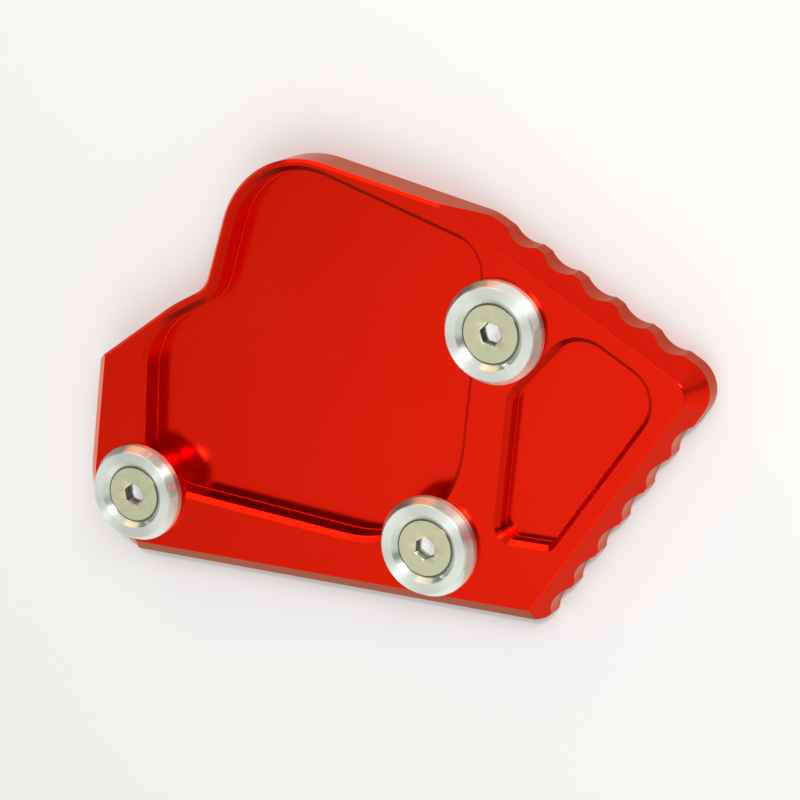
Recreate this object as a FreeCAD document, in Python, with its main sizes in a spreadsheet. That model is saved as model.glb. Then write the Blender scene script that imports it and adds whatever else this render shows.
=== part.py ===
import FreeCAD, Part
import math
import os
import re

import Sketcher
from FreeCAD import Placement, Rotation, Vector

# Side-stand enlarger pad: a milled plate that takes a motorcycle side stand's foot in its deep
# pocket, and three clamp discs on countersunk screws that hold the foot down.
# Millimetres, +Z up. The origin is the centre of the plate's footprint, on the ground face.

DIMENSIONS = {
    # plate
    "plate_thickness": 8.5,
    "ground_edge_break": 0.3,
    "side_chamfer": 2.4,
    "crown_chamfer": 0.6,
    "bevel_width": 3.1,
    "bevel_drop": 4.6,
    "crease_radius": 0.4,
    # corners of the plate's outline, in order round it: place and corner radius
    "heel_x": -63.25, "heel_y": 2.42, "heel_r": 1.6,
    "tail_x": -69.18, "tail_y": -28.35, "tail_r": 15.0,
    "keel_x": -57.7, "keel_y": -37.73, "keel_r": 1.2,
    "toe_x": 33.6, "toe_y": -44.58, "toe_r": 2.4,
    "nose_x": 70.65, "nose_y": 3.42, "nose_r": 6.4,
    "shoulder_x": 25.5, "shoulder_y": 33.77, "shoulder_r": 10.0,
    "crown_x": -24.35, "crown_y": 48.72, "crown_r": 18.7,
    "neck_x": -35.75, "neck_y": 18.37, "neck_r": 6.0,
    "waist_x": -43.7, "waist_y": 14.72, "waist_r": 30.0,
    # foot pocket: corners of its wall
    "foot_depth": 5.5,
    "rim_chamfer": 1.0,
    "floor_radius": 0.2,
    "foot_heel_x": -50.35, "foot_heel_y": 8.87, "foot_heel_r": 14.0,
    "foot_tail_x": -54.25, "foot_tail_y": -22.53, "foot_tail_r": 10.0,
    "foot_toe_x": 14.8, "foot_toe_y": -33.53, "foot_toe_r": 23.5,
    "foot_shoulder_x": 25.35, "foot_shoulder_y": 27.87, "foot_shoulder_r": 7.0,
    "foot_crown_x": -22.35, "foot_crown_y": 47.27, "foot_crown_r": 16.0,
    "foot_neck_x": -33.85, "foot_neck_y": 16.57, "foot_neck_r": 8.0,
    # shallow lightening pocket: corners of its wall
    "light_depth": 3.5,
    "light_nose_x": 60.2, "light_nose_y": 1.87, "light_nose_r": 6.6,
    "light_top_x": 43.3, "light_top_y": 13.17, "light_top_r": 7.0,
    "light_heel_x": 30.05, "light_heel_y": 0.07, "light_heel_r": 3.0,
    "light_tail_x": 25.55, "light_tail_y": -28.03, "light_tail_r": 3.0,
    "light_toe_x": 36.35, "light_toe_y": -28.78, "light_toe_r": 2.0,
    # scallops along the two bevelled sides, measured from the nose corner
    "scallop_radius": 6.4,
    "upper_scallops": 5, "upper_pitch": 8.55, "upper_start": 12.7, "upper_bite": 0.9,
    "lower_scallops": 6, "lower_pitch": 8.42, "lower_start": 13.75, "lower_bite": 1.1,
    # screw places on the plate
    "screw_x_a": 27.58, "screw_y_a": 12.58,
    "screw_x_b": 11.38, "screw_y_b": -30.42,
    "screw_x_c": -54.67, "screw_y_c": -24.52,
    "screw_bore": 6.1,
    "bore_mouth": 7.0,
    # clamp disc
    "disc_diameter": 20.0,
    "disc_height": 3.5,
    "disc_top_diameter": 18.2,
    "disc_wall_height": 1.5,
    "disc_edge_break": 0.2,
    "disc_bore": 7.2,
    "sink_mouth": 13.84,
    # M6 countersunk screw with a hexagon socket
    "head_diameter": 11.7,
    "head_land": 0.15,
    "head_sink": 0.85,
    "screw_length": 10.0,
    "thread_diameter": 6.0,
    "tip_chamfer": 0.6,
    "socket_width": 4.0,
    "socket_depth": 2.3,
    "socket_turn_a": 45.0,
    "socket_turn_b": 24.0,
    "socket_turn_c": 37.0,
}

PLATE_CORNERS = ("heel", "tail", "keel", "toe", "nose", "shoulder", "crown", "neck", "waist")
FOOT_CORNERS = ("foot_heel", "foot_tail", "foot_toe", "foot_shoulder", "foot_crown", "foot_neck")
LIGHT_CORNERS = ("light_nose", "light_top", "light_heel", "light_tail", "light_toe")
SHARP_UNTIL_CHAMFERED = ("heel", "keel", "toe", "shoulder")
SCREWS = ("a", "b", "c")

doc = FreeCAD.newDocument("side_stand_pad")
sheet = doc.addObject("Spreadsheet::Sheet", "dims")


def fill_sheet():
    """Name in column A, value with its alias in column B."""
    for row, (name, value) in enumerate(DIMENSIONS.items(), start=1):
        sheet.set(f"A{row}", name)
        sheet.set(f"B{row}", str(value))
        sheet.setAlias(f"B{row}", name)
    doc.recompute()


def size(name):
    return float(sheet.get(name))


def corner_point(name, z=0.0):
    return Vector(size(name + "_x"), size(name + "_y"), z)


# ---------------------------------------------------------------- bodies and sketches


def new_body(label):
    body = doc.addObject("PartDesign::Body", label)
    body.Label = label
    return body


def new_sketch(body, name, role="XY_Plane", height=None):
    """A sketch on one of the body's origin planes, lifted by the cell named in height."""
    plane = next(o for o in body.Origin.OriginFeatures if o.Role == role)
    sketch = body.newObject("Sketcher::SketchObject", name)
    sketch.AttachmentSupport = (plane, [""])
    sketch.MapMode = "FlatFace"
    sketch.AttachmentOffset = Placement(Vector(), Rotation(Vector(0, 0, 1), 0))
    if height:
        sketch.setExpression("AttachmentOffset.Base.z", "dims." + height)
    return sketch


def bind(sketch, constraint, name, formula=None):
    """Adds a dimension to a sketch and ties it to the sheet."""
    index = sketch.addConstraint(constraint)
    sketch.renameConstraint(index, name)
    sketch.setExpression("Constraints." + name, formula or "dims." + name)


def rounded_outline(sketch, names, sharp=()):
    """A closed outline through named corners, each with its own radius, tied to the sheet."""
    count = len(names)
    points = [corner_point(name) for name in names]
    radii = [0.0 if name in sharp else size(name + "_r") for name in names]
    ins, outs, arcs = [], [], []
    for i in range(count):
        back = (points[i - 1] - points[i]).normalize()
        ahead = (points[(i + 1) % count] - points[i]).normalize()
        half = back.getAngle(ahead) / 2
        reach = radii[i] / math.tan(half)
        ins.append(points[i] + back * reach)
        outs.append(points[i] + ahead * reach)
        middle = (back + ahead).normalize()
        centre = points[i] + middle * (radii[i] / math.sin(half))
        left_turn = back.cross(ahead).z < 0
        first, last = (ins[i], outs[i]) if left_turn else (outs[i], ins[i])
        a0, a1 = (math.atan2(p.y - centre.y, p.x - centre.x) for p in (first, last))
        circle = Part.Circle(centre, Vector(0, 0, 1), radii[i] or 1.0)
        arc = Part.ArcOfCircle(circle, a0, a1) if radii[i] else None
        arcs.append((arc, (1, 2) if left_turn else (2, 1)))

    corner = [sketch.addGeometry(Part.Point(p), True) for p in points]
    line = [sketch.addGeometry(Part.LineSegment(outs[i], ins[(i + 1) % count])) for i in range(count)]
    for i, name in enumerate(names):
        bind(sketch, Sketcher.Constraint("DistanceX", -1, 1, corner[i], 1, points[i].x), name + "_x")
        bind(sketch, Sketcher.Constraint("DistanceY", -1, 1, corner[i], 1, points[i].y), name + "_y")
        if radii[i] == 0.0:
            sketch.addConstraint(Sketcher.Constraint("Coincident", line[i - 1], 2, corner[i], 1))
            sketch.addConstraint(Sketcher.Constraint("Coincident", line[i], 1, corner[i], 1))
            continue
        shape, (entry, leave) = arcs[i]
        arc = sketch.addGeometry(shape)
        sketch.addConstraint(Sketcher.Constraint("Tangent", line[i - 1], 2, arc, entry))
        sketch.addConstraint(Sketcher.Constraint("Tangent", arc, leave, line[i], 1))
        sketch.addConstraint(Sketcher.Constraint("PointOnObject", corner[i], 1, line[i - 1]))
        sketch.addConstraint(Sketcher.Constraint("PointOnObject", corner[i], 1, line[i]))
        bind(sketch, Sketcher.Constraint("Radius", arc, radii[i]), name + "_r")


def profile(sketch, corners):
    """A closed polygon of (x, y) formulas, every corner tied to the sheet."""
    values = [tuple(evaluate(f) for f in pair) for pair in corners]
    count = len(corners)
    lines = []
    for i in range(count):
        start, end = Vector(*values[i], 0), Vector(*values[(i + 1) % count], 0)
        lines.append(sketch.addGeometry(Part.LineSegment(start, end)))
    for i in range(count):
        sketch.addConstraint(Sketcher.Constraint("Coincident", lines[i - 1], 2, lines[i], 1))
        for kind, value, formula, tag in zip(("DistanceX", "DistanceY"), values[i], corners[i], "xy"):
            constraint = Sketcher.Constraint(kind, -1, 1, lines[i], 1, value)
            bind(sketch, constraint, f"corner_{tag}{i}", with_sheet(formula))


def with_sheet(formula):
    return re.sub(r"[a-z][a-z_]+", lambda word: "dims." + word.group(), formula)


def evaluate(formula):
    """The value of a sum of cells, numbers and halves."""
    total, sign = 0.0, 1.0
    for word in formula.split():
        if word in "+-":
            sign = 1.0 if word == "+" else -1.0
            continue
        cell, _, divisor = word.partition("/")
        value = size(cell) if cell in DIMENSIONS else float(cell)
        total += sign * value / float(divisor or 1)
    return total


def pad_or_pocket(body, kind, name, sketch, length=None):
    """Extrudes a sketch; without a length it goes right through the part."""
    feature = body.newObject("PartDesign::" + kind, name)
    feature.Profile = sketch
    if length:
        feature.setExpression("Length", "dims." + length)
    else:
        feature.Type = "ThroughAll"
        feature.Midplane = True
    return feature


def edges_near(feature, points):
    """Names of the edges that pass through the given points."""
    edges = feature.Shape.Edges
    names = []
    for point in points:
        vertex = Part.Vertex(point)
        best = min(range(len(edges)), key=lambda k: edges[k].distToShape(vertex)[0])
        names.append(f"Edge{best + 1}")
    return names


def dress(body, kind, name, points, width, drop=None):
    """A chamfer or fillet on the edges of the body's tip that pass through the points."""
    doc.recompute()
    base = body.Tip
    feature = body.newObject("PartDesign::" + kind, name)
    feature.Base = (base, edges_near(base, points))
    if kind == "Fillet":
        feature.setExpression("Radius", "dims." + width)
        return feature
    feature.setExpression("Size", "dims." + width)
    if drop:
        feature.ChamferType = "Two distances"
        feature.setExpression("Size2", "dims." + drop)
    return feature


def place_body(body, screw, height):
    """Stands a body on the axis of one of the screws."""
    body.setExpression("Placement.Base.x", "dims.screw_x_" + screw)
    body.setExpression("Placement.Base.y", "dims.screw_y_" + screw)
    body.setExpression("Placement.Base.z", "dims." + height)


# ---------------------------------------------------------------- base plate


def middle(first, second, z):
    return (corner_point(first, z) + corner_point(second, z)) * 0.5


def inward(end):
    """A step of one bevel width from the side between the nose and the given corner."""
    along = (corner_point(end) - corner_point("nose")).normalize()
    across = Vector(-along.y, along.x, 0) * size("bevel_width")
    return across if across.x < 0 else -across


def cut_scallops(body, side, far_corner, outward):
    """A row of round bites out of one bevelled side, counted from the nose."""
    sketch = new_sketch(body, side + "_scallop_plan")
    sketch.setExpression("AttachmentOffset.Base.x", "dims.nose_x")
    sketch.setExpression("AttachmentOffset.Base.y", "dims.nose_y")
    run = f"dims.{far_corner}_x - dims.nose_x"
    rise = f"dims.{far_corner}_y - dims.nose_y"
    sketch.setExpression("AttachmentOffset.Rotation.Angle", f"atan2({rise}; {run})")
    start, radius, bite = size(side + "_start"), size("scallop_radius"), size(side + "_bite")
    centre = Vector(start, outward * (radius - bite), 0)
    circle = sketch.addGeometry(Part.Circle(centre, Vector(0, 0, 1), radius))
    bind(sketch, Sketcher.Constraint("Radius", circle, radius), "bite_radius", "dims.scallop_radius")
    bind(sketch, Sketcher.Constraint("DistanceX", -1, 1, circle, 3, start), side + "_start")
    offset = f"dims.scallop_radius - dims.{side}_bite"
    along = Sketcher.Constraint("DistanceY", -1, 1, circle, 3, centre.y)
    bind(sketch, along, "outward", offset if outward > 0 else f"-({offset})")
    bite_cut = pad_or_pocket(body, "Pocket", side + "_scallop", sketch)
    row = body.newObject("PartDesign::LinearPattern", side + "_scallop_row")
    row.Originals = [bite_cut]
    row.Direction = (sketch, ["H_Axis"])
    row.Mode = "Spacing"
    row.setExpression("Offset", f"dims.{side}_pitch")
    row.setExpression("Occurrences", f"dims.{side}_scallops")
    body.Tip = row


def cut_pocket(body, name, corners, depth):
    """A flat-bottomed pocket with a chamfered rim and a small radius round its floor."""
    sketch = new_sketch(body, name + "_plan", height="plate_thickness")
    rounded_outline(sketch, corners)
    pad_or_pocket(body, "Pocket", name, sketch, depth)
    top = size("plate_thickness")
    rim = [middle(corners[0], corners[1], top)]
    floor = [middle(corners[0], corners[1], top - size(depth))]
    dress(body, "Fillet", name + "_floor_radius", floor, "floor_radius")
    dress(body, "Chamfer", name + "_rim", rim, "rim_chamfer")


def make_plate():
    body = new_body("base_plate")
    top = size("plate_thickness")
    outline = new_sketch(body, "outline")
    rounded_outline(outline, PLATE_CORNERS, SHARP_UNTIL_CHAMFERED)
    pad_or_pocket(body, "Pad", "blank", outline, "plate_thickness")
    dress(body, "Chamfer", "crown_edge", [middle("shoulder", "crown", top)], "crown_chamfer")
    sides = [middle("keel", end, top) for end in ("tail", "toe")]
    dress(body, "Chamfer", "side_edge", sides, "side_chamfer")
    dress(body, "Chamfer", "bevel", [middle("nose", "toe", top)], "bevel_width", "bevel_drop")
    creases = [middle("nose", end, top) + inward(end) for end in ("toe", "shoulder")]
    dress(body, "Fillet", "bevel_crease", creases, "crease_radius")
    for name in SHARP_UNTIL_CHAMFERED:
        dress(body, "Fillet", name + "_round", [corner_point(name, top / 8)], name + "_r")
    cut_scallops(body, "upper", "shoulder", -1)
    cut_scallops(body, "lower", "toe", 1)
    dress(body, "Chamfer", "ground_edge", [middle("keel", "toe", 0)], "ground_edge_break")
    cut_pocket(body, "foot", FOOT_CORNERS, "foot_depth")
    cut_pocket(body, "light", LIGHT_CORNERS, "light_depth")
    drill_bores(body)
    return body


def drill_bores(body):
    """The three screw bores, with a small countersunk mouth."""
    sketch = new_sketch(body, "bore_centres", height="plate_thickness")
    for screw in SCREWS:
        centre = Vector(size("screw_x_" + screw), size("screw_y_" + screw), 0)
        circle = sketch.addGeometry(Part.Circle(centre, Vector(0, 0, 1), size("screw_bore") / 2))
        for kind, value, cell in (("DistanceX", centre.x, "screw_x_"), ("DistanceY", centre.y, "screw_y_")):
            bind(sketch, Sketcher.Constraint(kind, -1, 1, circle, 3, value), cell + screw)
        radius = Sketcher.Constraint("Radius", circle, size("screw_bore") / 2)
        bind(sketch, radius, "bore_" + screw, "dims.screw_bore / 2")
    doc.recompute()
    hole = body.newObject("PartDesign::Hole", "screw_bores")
    hole.Profile = sketch
    hole.DepthType = "ThroughAll"
    hole.HoleCutType = "Countersink"
    hole.setExpression("Diameter", "dims.screw_bore")
    hole.setExpression("HoleCutDiameter", "dims.bore_mouth")


# ---------------------------------------------------------------- clamp discs and screws


def revolve(body, name, corners):
    sketch = new_sketch(body, name + "_profile", role="XZ_Plane")
    profile(sketch, corners)
    feature = body.newObject("PartDesign::Revolution", name)
    feature.Profile = sketch
    feature.ReferenceAxis = (sketch, ["V_Axis"])
    return feature


def make_disc(number, screw):
    """A turned disc with a coned edge and a countersunk bore, its seat at z = 0."""
    body = new_body(f"clamp_disc_{number}")
    revolve(body, f"disc_{number}", (
        ("disc_bore/2", "0"),
        ("disc_diameter/2 - disc_edge_break", "0"),
        ("disc_diameter/2", "disc_edge_break"),
        ("disc_diameter/2", "disc_wall_height"),
        ("disc_top_diameter/2", "disc_height - disc_edge_break"),
        ("disc_top_diameter/2 - disc_edge_break", "disc_height"),
        ("sink_mouth/2", "disc_height"),
        ("disc_bore/2", "disc_height - sink_mouth/2 + disc_bore/2"),
    ))
    place_body(body, screw, "plate_thickness")


def make_screw(number, screw):
    """A countersunk screw, its head face at z = disc_height - head_sink above the plate."""
    body = new_body(f"clamp_screw_{number}")
    face = "disc_height - head_sink"
    neck = face + " - head_land - head_diameter/2 + thread_diameter/2"
    revolve(body, f"screw_{number}", (
        ("0", face),
        ("0", face + " - screw_length"),
        ("thread_diameter/2 - tip_chamfer", face + " - screw_length"),
        ("thread_diameter/2", face + " - screw_length + tip_chamfer"),
        ("thread_diameter/2", neck),
        ("head_diameter/2", face + " - head_land"),
        ("head_diameter/2", face),
    ))
    socket = new_sketch(body, f"socket_{number}_plan")
    socket.setExpression("AttachmentOffset.Base.z", with_sheet(face))
    socket.setExpression("AttachmentOffset.Rotation.Angle", "dims.socket_turn_" + screw)
    corner_radius = size("socket_width") / math.sqrt(3)
    points = [Vector(corner_radius * math.cos(math.radians(60 * k)),
                     corner_radius * math.sin(math.radians(60 * k)), 0) for k in range(6)]
    lines = [socket.addGeometry(Part.LineSegment(points[k], points[(k + 1) % 6])) for k in range(6)]
    circle = socket.addGeometry(Part.Circle(Vector(), Vector(0, 0, 1), corner_radius), True)
    socket.addConstraint(Sketcher.Constraint("Coincident", circle, 3, -1, 1))
    for k in range(6):
        socket.addConstraint(Sketcher.Constraint("Coincident", lines[k - 1], 2, lines[k], 1))
        socket.addConstraint(Sketcher.Constraint("PointOnObject", lines[k], 1, circle))
        if k:
            socket.addConstraint(Sketcher.Constraint("Equal", lines[0], lines[k]))
    socket.addConstraint(Sketcher.Constraint("PointOnObject", lines[0], 1, -1))
    bind(socket, Sketcher.Constraint("Radius", circle, corner_radius), "across_corners",
         "dims.socket_width / sqrt(3)")
    pad_or_pocket(body, "Pocket", f"socket_{number}", socket, "socket_depth")
    place_body(body, screw, "plate_thickness")


# ---------------------------------------------------------------- build, check and write


def check_and_write(bodies):
    for item in doc.Objects:
        bad = {"Invalid", "Error"} & set(item.State)
        origin_part = item.TypeId.startswith("App::")
        if bad or (not origin_part and hasattr(item, "Shape") and item.Shape.isNull()):
            raise RuntimeError(f"{item.Name} failed: {item.State}")
    os.makedirs("parts", exist_ok=True)
    for body in bodies:
        if not body.Shape.isValid() or len(body.Shape.Solids) != 1:
            raise RuntimeError(f"{body.Label} is not one valid solid")
        body.Shape.exportStep(f"parts/{body.Label}.step")
        box = body.Shape.BoundBox
        low = f"{box.XMin:.3f} {box.YMin:.3f} {box.ZMin:.3f}"
        high = f"{box.XMax:.3f} {box.YMax:.3f} {box.ZMax:.3f}"
        print(f"{body.Label}: {body.Shape.Volume:.1f} mm3, {low} to {high}")


fill_sheet()
make_plate()
for number, screw in enumerate(SCREWS, start=1):
    make_disc(number, screw)
    make_screw(number, screw)
doc.recompute()
check_and_write([o for o in doc.Objects if o.TypeId == "PartDesign::Body"])
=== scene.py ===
import math

import bmesh
import bpy
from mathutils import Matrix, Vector


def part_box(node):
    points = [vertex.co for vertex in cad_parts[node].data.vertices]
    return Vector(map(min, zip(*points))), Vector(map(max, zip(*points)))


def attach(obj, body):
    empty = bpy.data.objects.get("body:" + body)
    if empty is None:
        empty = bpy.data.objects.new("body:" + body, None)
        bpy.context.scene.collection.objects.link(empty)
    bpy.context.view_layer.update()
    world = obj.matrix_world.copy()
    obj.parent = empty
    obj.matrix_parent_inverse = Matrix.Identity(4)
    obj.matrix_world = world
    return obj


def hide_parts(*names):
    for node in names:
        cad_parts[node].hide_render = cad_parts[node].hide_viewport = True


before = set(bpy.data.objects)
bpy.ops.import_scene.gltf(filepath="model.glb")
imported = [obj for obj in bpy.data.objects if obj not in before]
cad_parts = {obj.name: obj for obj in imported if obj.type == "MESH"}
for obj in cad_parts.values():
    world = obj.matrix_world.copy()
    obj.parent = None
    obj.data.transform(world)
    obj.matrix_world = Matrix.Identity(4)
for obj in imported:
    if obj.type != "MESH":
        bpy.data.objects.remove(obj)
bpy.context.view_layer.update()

# A side stand foot pad: finishes for its plate and discs, threaded screws in the place of the plain
# ones, and a pale studio. Metres and degrees, in the part's own frame. Colours are linear.

SCREWS = (1, 2, 3)
PLATE_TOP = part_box("base_plate")[1].z

# The plate's red: two tones of its faces, and duller, darker reds painted on its walls and on what faces
# -Y as painted shade and painted reflection.
RED_DEEP = (0.80, 0.0125, 0.0035, 1)
RED_LIGHT = (0.86, 0.0185, 0.0048, 1)
RED_WALL_PAINTED_SHADE = (0.62, 0.0170, 0.0080, 1)
RED_OUTER_WALL_PAINTED_SHADE = (0.50, 0.0140, 0.0035, 1)
RED_TOE_SIDE_PAINTED_SHADE = (0.36, 0.0140, 0.0100, 1)
RED_GLANCING = (1.0, 1.0, 0.80, 1)
CROWN_WAY = (0.45, 0.89, 0)
CROWN_SIDE_FROM = 0.018
CROWN_SIDE_FULL = 0.024

# The discs: turned aluminium.
DISC_COLOUR = (0.91, 1.0, 0.92)
DISC_GROOVE_SHADE = 0.93
DISC_ROUGHNESS = 0.40
DISC_ANISOTROPY = 0.90
DISC_GROOVES = 9000.0
CONE_SLOPE = 0.7

# The screws. The socket is less deep than the CAD's, so that light reaches its floor.
SHANK_RADIUS = 0.003
ROOT_RADIUS = 0.0024
PITCH = 0.001
PLAIN_NECK = 0.0004
RUN_OUT = 0.0009
THREAD_END = 0.0002
TIP_TAPER = 0.0007
TIP_STEP = 0.00015
TIP_INSET = 0.00025
CREST_GAIN = 1.35
CREST_OFFSET = 0.15
HEAD_LAND = 0.00015
HEAD_BREAK = 0.00014
HEAD_BREAK_SPREAD = 2.2
SOCKET_WIDTH = 0.004
SOCKET_DEPTH = 0.0016
SOCKET_TURN = {1: 45.0, 2: 24.0, 3: 37.0}
SOCKET_DISH = 0.00012
SOCKET_DISH_RIM = 0.00008
SOCKET_DISH_RADIUS = 0.0007
SOCKET_FILLET = (0.0001, 0.00015)
MOUTH_WIDTH = 0.0002
MOUTH_DEPTH = 0.00012
MOUTH_ROUNDNESS = 0.35
MOUTH_CIRCLE = 1.10
ROUND_STEPS = 96
THREAD_STEPS = 14
SCREW_SMOOTH_ANGLE = 22.0

# The finishes of a screw, in the order of its material slots; the floor's is painted light, SHADED is
# painted shade.
TUMBLED, THREAD, PAINTED_LIT_FLOOR, SHADED = range(4)

# The studio: an even room, and soft brighter and darker areas in it.
ROOM_LEVEL = 0.60
FLOOR_LEVEL = 0.80
PATCHES = (
    # direction, inner and outer angle, brightness
    ((0.46, -0.22, 0.86), 8, 26, 0.55),
    ((0.02, -0.62, 0.78), 12, 28, 1.30),
    ((0.00, -0.83, 0.55), 10, 24, 1.50),
    ((-0.30, -0.25, 0.92), 2, 19, 0.95),
    ((0.03, 0.54, 0.84), 9, 22, 1.60),
    ((-0.54, -0.03, 0.84), 3, 12, 0.62),
    ((-0.40, 0.38, 0.84), 8, 20, 0.12),
    ((0.43, 0.24, 0.87), 13, 26, 0.04),
    ((-0.84, 0.45, 0.25), 14, 34, 0.06),
    ((0.32, 0.94, 0.08), 10, 26, 0.69),
    ((-0.45, 0.84, 0.28), 8, 20, 1.50),
    ((-0.18, 0.93, 0.33), 5, 12, 2.00),
    ((0.86, -0.22, 0.46), 8, 24, 0.72),
    ((0.86, 0.10, 0.50), 3, 9, 0.22),
    ((0.95, 0.15, 0.28), 8, 19, 0.05),
)
WARM_PATCH = ((-0.40, 0.87, 0.25), 10, 28)
WARM_PATCH_DEPTH = 0.45
WARM_LOW, WARM_HIGH = 0.86, 0.97
WARM_HEIGHT = 0.8
GREEN_SHARE = 0.35
LAMPS = (
    # name, place, width, height, watts
    ("key_strip", (0.42, 0.36, 0.60), 0.14, 0.42, 1.6),
    ("key_lamp", (0.30, 0.36, 0.79), 0.06, 0.06, 0.5),
    ("spark_lamp", (0.30, 0.36, 0.79), 0.02, 0.02, 0.9),
)
LAMP_TARGET = (0.0, 0.0, 0.005)
FLOOR_HALF = 3.0
FLOOR_DROP = 0.00002
CAMERA_PLACE = (0.22232, 0.10935, 0.42167)
CAMERA_TURN = (-15.076, 26.757, -3.636)
CAMERA_LENS = 112.3
CAMERA_SENSOR = 36.0


# ---------------------------------------------------------------- node helpers


class Nodes:
    """A small builder for material node trees."""

    def __init__(self, tree):
        self.tree = tree
        tree.nodes.clear()

    def plug(self, socket, value):
        if isinstance(value, bpy.types.NodeSocket):
            self.tree.links.new(value, socket)
        else:
            socket.default_value = value

    def add(self, kind, inputs=None, **settings):
        node = self.tree.nodes.new(kind)
        for key, value in settings.items():
            setattr(node, key, value)
        for key, value in (inputs or {}).items():
            self.plug(node.inputs[key], value)
        return node

    def math(self, operation, first, second=0.0):
        node = self.add("ShaderNodeMath", {0: first, 1: second}, operation=operation)
        return node.outputs[0]

    def vector(self, operation, first, second=(0, 0, 0)):
        node = self.add("ShaderNodeVectorMath", {0: first, 1: second}, operation=operation)
        return node.outputs["Vector"]

    def number(self, operation, first, second=(0, 0, 0)):
        """A vector operation whose result is one number."""
        node = self.add("ShaderNodeVectorMath", {0: first, 1: second}, operation=operation)
        return node.outputs["Value"]

    def noise(self, vector, scale, detail=2.0, roughness=0.5):
        node = self.add("ShaderNodeTexNoise", {
            "Vector": vector, "Scale": scale, "Detail": detail, "Roughness": roughness})
        return node.outputs["Fac"]

    def map_range(self, value, low, high, to_low, to_high):
        node = self.add("ShaderNodeMapRange", {
            "Value": value, "From Min": low, "From Max": high, "To Min": to_low, "To Max": to_high})
        return node.outputs["Result"]

    def mix(self, factor, first, second):
        node = self.add("ShaderNodeMix", data_type="RGBA", blend_type="MIX")
        for index, value in ((0, factor), (6, first), (7, second)):
            self.plug(node.inputs[index], value)
        return node.outputs[2]

    def bump(self, strength, distance, height):
        node = self.add("ShaderNodeBump", {"Strength": strength, "Distance": distance, "Height": height})
        return node.outputs["Normal"]

    def metal(self, colour, roughness, normal, **more):
        """A metal surface joined to the material's output."""
        inputs = {"Base Color": colour, "Metallic": 1.0, "Roughness": roughness, "Normal": normal}
        shader = self.add("ShaderNodeBsdfPrincipled", inputs | more)
        self.add("ShaderNodeOutputMaterial", {"Surface": shader.outputs[0]})


def new_material(name):
    """A new material, its node builder and the place on the object."""
    material = bpy.data.materials.new(name)
    material.use_nodes = True
    nodes = Nodes(material.node_tree)
    place = nodes.add("ShaderNodeTexCoord").outputs["Object"]
    return material, nodes, place


# ---------------------------------------------------------------- materials


def anodised_red():
    material, n, place = new_material("anodised_red")
    cloud = n.noise(place, 38.0, 3.0)
    grain = n.noise(place, 5200.0, 2.0, 0.6)
    facing = n.add("ShaderNodeNewGeometry").outputs["True Normal"]
    parts = n.add("ShaderNodeSeparateXYZ", {0: facing})
    upright = n.map_range(n.math("ABSOLUTE", parts.outputs["Z"]), 0.0, 0.25, 1.0, 0.0)

    # Painted shade and painted reflection: walls are painted duller than faces, and most so past a line
    # on the crown's side and where they face -Y.
    along_crown = n.number("DOT_PRODUCT", place, CROWN_WAY)
    crown_side = n.map_range(along_crown, CROWN_SIDE_FROM, CROWN_SIDE_FULL, 0.0, 1.0)
    toe_side = n.map_range(parts.outputs["Y"], -0.30, -0.50, 0.0, 1.0)
    outer = n.math("MULTIPLY", n.math("MAXIMUM", crown_side, toe_side), upright)
    # Painted shade: anything facing steeply towards -Y, walls and chamfers alike, is painted darker
    # still.
    toe_facing_shade = n.map_range(parts.outputs["Y"], -0.45, -0.66, 0.0, 1.0)

    red = n.mix(cloud, RED_DEEP, RED_LIGHT)
    red = n.mix(upright, red, RED_WALL_PAINTED_SHADE)
    red = n.mix(outer, red, RED_OUTER_WALL_PAINTED_SHADE)
    red = n.mix(toe_facing_shade, red, RED_TOE_SIDE_PAINTED_SHADE)

    uneven = n.math("ADD", cloud, n.math("MULTIPLY", grain, 0.5))
    rough = n.math("ADD", n.map_range(uneven, 0.3, 1.1, 0.15, 0.22), n.math("MULTIPLY", outer, 0.05))
    stretched = n.add("ShaderNodeMapping", {"Vector": place, "Scale": (400.0, 9000.0, 9000.0)})
    milling_lay = n.noise(stretched.outputs["Vector"], 1.0, 2.0)
    relief = n.bump(0.05, 0.00002, n.math("ADD", milling_lay, n.math("MULTIPLY", grain, 0.6)))
    n.metal(red, rough, relief, **{"Specular Tint": RED_GLANCING})
    return material


def turned_aluminium(name, centre):
    """Metal turned on a lathe about a vertical axis: fine circular grooves round the centre."""
    material, n, place = new_material(name)
    local = n.vector("SUBTRACT", place, centre)
    flat = n.vector("MULTIPLY", local, (1, 1, 0))
    radius = n.number("LENGTH", flat)
    height = n.add("ShaderNodeSeparateXYZ", {0: local}).outputs["Z"]
    across = n.math("ADD", radius, n.math("MULTIPLY", height, CONE_SLOPE))
    groove = n.add("ShaderNodeTexNoise", {
        "W": across, "Scale": DISC_GROOVES, "Detail": 4.0, "Roughness": 0.65},
        noise_dimensions="1D").outputs["Fac"]
    smudge = n.noise(local, 260.0, 3.0)
    shade = tuple(part * DISC_GROOVE_SHADE for part in DISC_COLOUR)
    tone = n.mix(groove, (*shade, 1), (*DISC_COLOUR, 1))
    rough = n.map_range(smudge, 0.3, 0.7, DISC_ROUGHNESS * 0.85, DISC_ROUGHNESS * 1.2)
    round_about = n.vector("NORMALIZE", n.vector("CROSS_PRODUCT", flat, (0, 0, 1)))
    n.metal(tone, rough, n.bump(0.25, 0.000012, groove), **{
        "Anisotropic": DISC_ANISOTROPY, "Anisotropic Rotation": 0.25, "Tangent": round_about,
        "Coat Weight": 1.0, "Coat Roughness": 0.05, "Coat IOR": 2.5})
    return material


def tumbled_steel():
    material, n, place = new_material("tumbled_steel")
    cloud = n.noise(place, 420.0, 4.0)
    pits = n.noise(place, 4200.0, 3.0, 0.7)
    tone = n.mix(cloud, (0.63, 0.655, 0.44, 1), (0.78, 0.805, 0.56, 1))
    n.metal(tone, n.map_range(pits, 0.3, 0.7, 0.36, 0.5), n.bump(0.35, 0.00002, pits))
    return material


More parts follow.
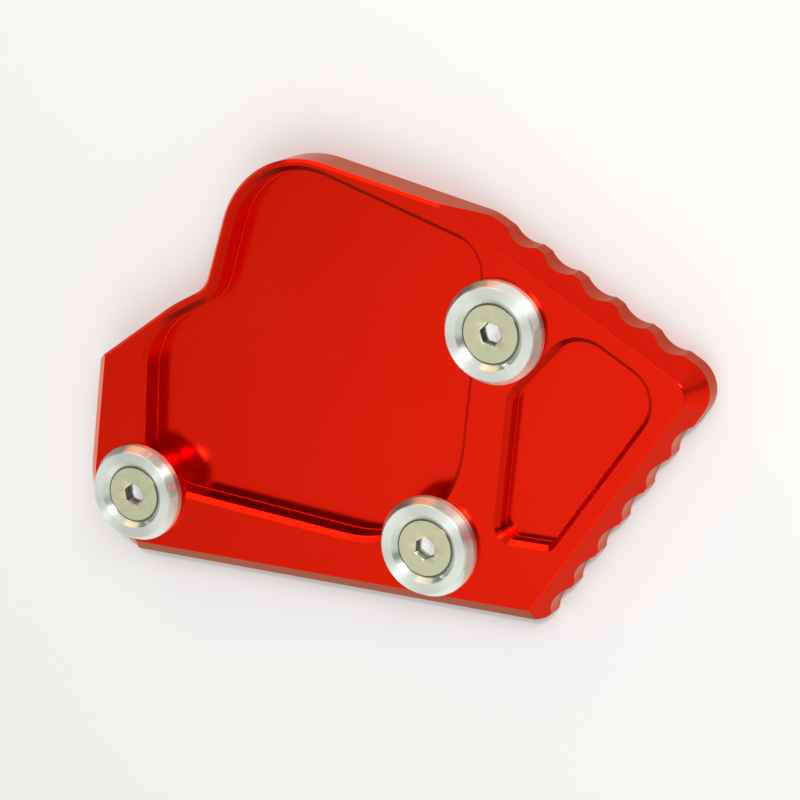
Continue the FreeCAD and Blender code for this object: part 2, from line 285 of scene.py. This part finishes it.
def cloudy_steel(name, dark, light, smooth, rough):
    """Steel between two tones and two roughnesses: rolled for the thread, painted nearly white as
    painted light on the socket's floor, painted dark as painted shade elsewhere.
    """
    material, n, place = new_material(name)
    cloud = n.noise(place, 900.0, 3.0)
    tone = n.mix(cloud, (*dark, 1), (*light, 1))
    n.metal(tone, n.map_range(cloud, 0.3, 0.7, smooth, rough), n.bump(0.2, 0.00001, cloud))
    return material


def coat(node, material):
    """Give every material slot of a CAD node the same finish."""
    for slot in node.material_slots:
        slot.material = material


# ---------------------------------------------------------------- mesh helpers


def mesh_object(name, bm, materials, smooth_angle=30.0):
    mesh = bpy.data.meshes.new(name)
    bmesh.ops.recalc_face_normals(bm, faces=bm.faces)
    bm.to_mesh(mesh)
    bm.free()
    for material in materials:
        mesh.materials.append(material)
    mesh.shade_smooth()
    mesh.set_sharp_from_angle(angle=math.radians(smooth_angle))
    obj = bpy.data.objects.new(name, mesh)
    bpy.context.scene.collection.objects.link(obj)
    return obj


def ring(bm, turn, z, radius_at):
    """Points round the axis at a height, each as far out as radius_at says for its direction."""
    points = []
    for i in range(ROUND_STEPS):
        angle = 2 * math.pi * i / ROUND_STEPS + turn
        radius = radius_at(angle)
        points.append(bm.verts.new((radius * math.cos(angle), radius * math.sin(angle), z)))
    return points


def circle(bm, turn, z, radius):
    return ring(bm, turn, z, lambda angle: radius)


def bridge(bm, first, second, finish):
    """A band of faces between two rings."""
    for i in range(ROUND_STEPS):
        j = (i + 1) % ROUND_STEPS
        face = bm.faces.new((first[i], first[j], second[j], second[i]))
        face.material_index = finish


def fan(bm, hub, points, finish):
    """Faces from a ring to one point in its middle."""
    for i in range(ROUND_STEPS):
        face = bm.faces.new((hub, points[i], points[(i + 1) % ROUND_STEPS]))
        face.material_index = finish


# ---------------------------------------------------------------- screws


def hexagon_radius(angle, turn):
    """Distance from the axis to the socket's wall in a given direction."""
    step = math.radians(60)
    off = (angle - turn) % step - step / 2
    return SOCKET_WIDTH / 2 / math.cos(off)


def add_socket(bm, turn, face_z):
    """The socket, from its dished floor up to its broken edge. Returns the ring at the edge."""
    floor_z = face_z - SOCKET_DEPTH
    corner_radius = SOCKET_WIDTH / math.sqrt(3)
    fillet_width, fillet_height = SOCKET_FILLET

    def hexagon(z, grow=0.0):
        return ring(bm, turn, z, lambda angle: hexagon_radius(angle, turn) + grow)

    def mouth_radius(angle):
        six_sided = hexagon_radius(angle, turn) + MOUTH_WIDTH
        return six_sided * (1 - MOUTH_ROUNDNESS) + corner_radius * MOUTH_CIRCLE * MOUTH_ROUNDNESS

    bottom = bm.verts.new((0, 0, floor_z - SOCKET_DISH))
    rings = (
        circle(bm, turn, floor_z - SOCKET_DISH_RIM, SOCKET_DISH_RADIUS),
        hexagon(floor_z, -fillet_width),
        hexagon(floor_z + fillet_height),
        hexagon(face_z - MOUTH_DEPTH),
        ring(bm, turn, face_z, mouth_radius),
    )
    # Painted light on the socket's floor and painted shade on its walls.
    fan(bm, bottom, rings[0], PAINTED_LIT_FLOOR)
    for low, high, finish in zip(rings, rings[1:], (PAINTED_LIT_FLOOR, SHADED, SHADED, TUMBLED)):
        bridge(bm, low, high, finish)
    return rings[-1]


def add_head(bm, turn, mouth, face_z, head_radius):
    """The head, from the socket's edge to the plain neck. Returns the neck's last ring and height."""
    land_z = face_z - HEAD_LAND
    neck_z = land_z - (head_radius - SHANK_RADIUS)
    thread_z = neck_z - PLAIN_NECK
    # Painted shade: the bands of the edge break, the land and the underside are dark steel, for the dark
    # gap round the head.
    profile = (
        # radius, height, finish of the band that ends there
        (head_radius * 0.7, face_z, TUMBLED),
        (head_radius - HEAD_BREAK_SPREAD * HEAD_BREAK, face_z, TUMBLED),
        (head_radius - HEAD_BREAK, face_z - HEAD_BREAK, SHADED),
        (head_radius, land_z, SHADED),
        ((head_radius + SHANK_RADIUS) / 2, (land_z + neck_z) / 2, SHADED),
        (SHANK_RADIUS, neck_z, TUMBLED),
        (SHANK_RADIUS, thread_z, TUMBLED),
    )
    previous = mouth
    for radius, z, finish in profile:
        following = circle(bm, turn, z, radius)
        bridge(bm, previous, following, finish)
        previous = following
    return previous, thread_z


def thread_radius(angle, z, start_z, tip_z):
    """The helix, with its crest at the shank's radius, running out at the neck and at the tip."""
    phase = ((start_z - z) / PITCH + angle / (2 * math.pi)) % 1.0
    crest = min(1.0, max(0.0, abs(phase - 0.5) * 2 * CREST_GAIN - CREST_OFFSET))
    fade = min(1.0, (start_z - z) / RUN_OUT)
    taper = min(1.0, (z - tip_z) / TIP_TAPER)
    radius = SHANK_RADIUS - (SHANK_RADIUS - ROOT_RADIUS) * (1 - crest) * fade
    limit = ROOT_RADIUS - TIP_STEP + (SHANK_RADIUS - ROOT_RADIUS + TIP_STEP) * taper
    return min(radius, limit)


def add_thread(bm, turn, neck, start_z, tip_z):
    """The threaded shank, from the neck's last ring down to the flat tip."""
    turns = (start_z - tip_z - THREAD_END) / PITCH
    previous = neck
    for row in range(1, int(turns * THREAD_STEPS) + 1):
        z = start_z - row * PITCH / THREAD_STEPS
        following = ring(bm, turn, z, lambda angle: thread_radius(angle, z, start_z, tip_z))
        bridge(bm, previous, following, THREAD)
        previous = following
    tip = circle(bm, turn, tip_z, ROOT_RADIUS - TIP_INSET)
    bridge(bm, previous, tip, THREAD)
    fan(bm, bm.verts.new((0, 0, tip_z)), tip[::-1], THREAD)


def build_screw(number, finishes):
    """A countersunk screw with a hexagon socket and a rolled thread, in its CAD node's place."""
    low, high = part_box(f"clamp_screw_{number}")
    centre = (low + high) / 2
    turn = math.radians(SOCKET_TURN[number])
    bm = bmesh.new()
    mouth = add_socket(bm, turn, high.z)
    neck, thread_z = add_head(bm, turn, mouth, high.z, (high.x - low.x) / 2)
    add_thread(bm, turn, neck, thread_z, low.z)
    bmesh.ops.translate(bm, verts=bm.verts, vec=(centre.x, centre.y, 0))
    screw = mesh_object(f"screw_{number}_threaded", bm, finishes, SCREW_SMOOTH_ANGLE)
    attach(screw, f"screw_{number}")
    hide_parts(f"clamp_screw_{number}")


# ---------------------------------------------------------------- light, floor and camera


def studio():
    """An even pale room with soft brighter and darker areas, a little warmer towards the floor."""
    world = bpy.data.worlds.new("studio")
    bpy.context.scene.world = world
    world.use_nodes = True
    n = Nodes(world.node_tree)
    way = n.add("ShaderNodeTexCoord").outputs["Generated"]

    def patch(direction, inner, outer):
        """1 within the inner angle of a direction, 0 beyond the outer one."""
        aim = Vector(direction).normalized()
        node = n.add("ShaderNodeMapRange", {
            "Value": n.number("DOT_PRODUCT", way, tuple(aim)),
            "From Min": math.cos(math.radians(outer)),
            "From Max": math.cos(math.radians(inner))}, interpolation_type="SMOOTHSTEP")
        return node.outputs["Result"]

    up = n.add("ShaderNodeSeparateXYZ", {0: way}).outputs["Z"]
    level = n.map_range(up, -0.02, 0.02, FLOOR_LEVEL, ROOM_LEVEL)
    for direction, inner, outer, amount in PATCHES:
        share = patch(direction, inner, outer)
        level = n.math("ADD", level, n.math("MULTIPLY", share, n.math("SUBTRACT", amount, level)))
    blue = n.map_range(up, 0.0, WARM_HEIGHT, WARM_LOW, WARM_HIGH)
    blue = n.math("SUBTRACT", blue, n.math("MULTIPLY", patch(*WARM_PATCH), WARM_PATCH_DEPTH))
    green = n.math("POWER", blue, GREEN_SHARE)
    tone = n.add("ShaderNodeCombineColor", {
        "Red": level, "Green": n.math("MULTIPLY", level, green),
        "Blue": n.math("MULTIPLY", level, blue)}).outputs[0]
    back = n.add("ShaderNodeBackground", {"Color": tone, "Strength": 1.0})
    n.add("ShaderNodeOutputWorld", {"Surface": back.outputs[0]})


def area_light(name, position, width, height, power):
    data = bpy.data.lights.new(name, "AREA")
    data.shape = "RECTANGLE"
    data.size = width
    data.size_y = height
    data.energy = power
    light = bpy.data.objects.new(name, data)
    bpy.context.scene.collection.objects.link(light)
    light.location = position
    light.rotation_mode = "QUATERNION"
    aim = Vector(LAMP_TARGET) - Vector(position)
    light.rotation_quaternion = aim.to_track_quat("-Z", "Y")


def floor():
    bm = bmesh.new()
    bmesh.ops.create_grid(bm, x_segments=8, y_segments=8, size=FLOOR_HALF)
    material, n, place = new_material("pale_floor")
    tone = n.mix(n.noise(place, 3.0), (0.95, 0.96, 0.97, 1), (0.97, 0.98, 0.99, 1))
    shader = n.add("ShaderNodeBsdfPrincipled", {"Base Color": tone, "Roughness": 0.6})
    n.add("ShaderNodeOutputMaterial", {"Surface": shader.outputs[0]})
    plane = mesh_object("studio_floor", bm, (material,))
    plane.location.z = -FLOOR_DROP


def camera():
    data = bpy.data.cameras.new("camera")
    data.sensor_width = CAMERA_SENSOR
    data.lens = CAMERA_LENS
    data.clip_start = 0.01
    data.clip_end = 20.0
    cam = bpy.data.objects.new("camera", data)
    bpy.context.scene.collection.objects.link(cam)
    cam.location = CAMERA_PLACE
    cam.rotation_euler = [math.radians(angle) for angle in CAMERA_TURN]
    bpy.context.scene.camera = cam


# ---------------------------------------------------------------- the scene

coat(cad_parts["base_plate"], anodised_red())
screw_finishes = (
    tumbled_steel(),
    cloudy_steel("bright_thread", (0.50, 0.49, 0.43), (0.66, 0.65, 0.58), 0.24, 0.36),
    # Painted light: the socket's floor is steel painted nearly white, as if lit from above.
    cloudy_steel("painted_lit_socket_floor", (0.90, 0.91, 0.88), (0.98, 0.98, 0.96), 0.12, 0.20),
    # Painted shade: dark steel on the socket's walls and on the head's edge, land and underside, for
    # shaded recesses and the gap round the head.
    cloudy_steel("shaded_steel", (0.11, 0.115, 0.09), (0.20, 0.21, 0.16), 0.22, 0.34),
)
for number in SCREWS:
    low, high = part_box(f"clamp_disc_{number}")
    middle = (low + high) / 2
    bright = turned_aluminium(f"bright_disc_{number}", (middle.x, middle.y, PLATE_TOP))
    coat(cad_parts[f"clamp_disc_{number}"], bright)
    build_screw(number, screw_finishes)

studio()
for lamp in LAMPS:
    area_light(*lamp)
floor()
camera()
bpy.context.scene.view_settings.view_transform = "Standard"
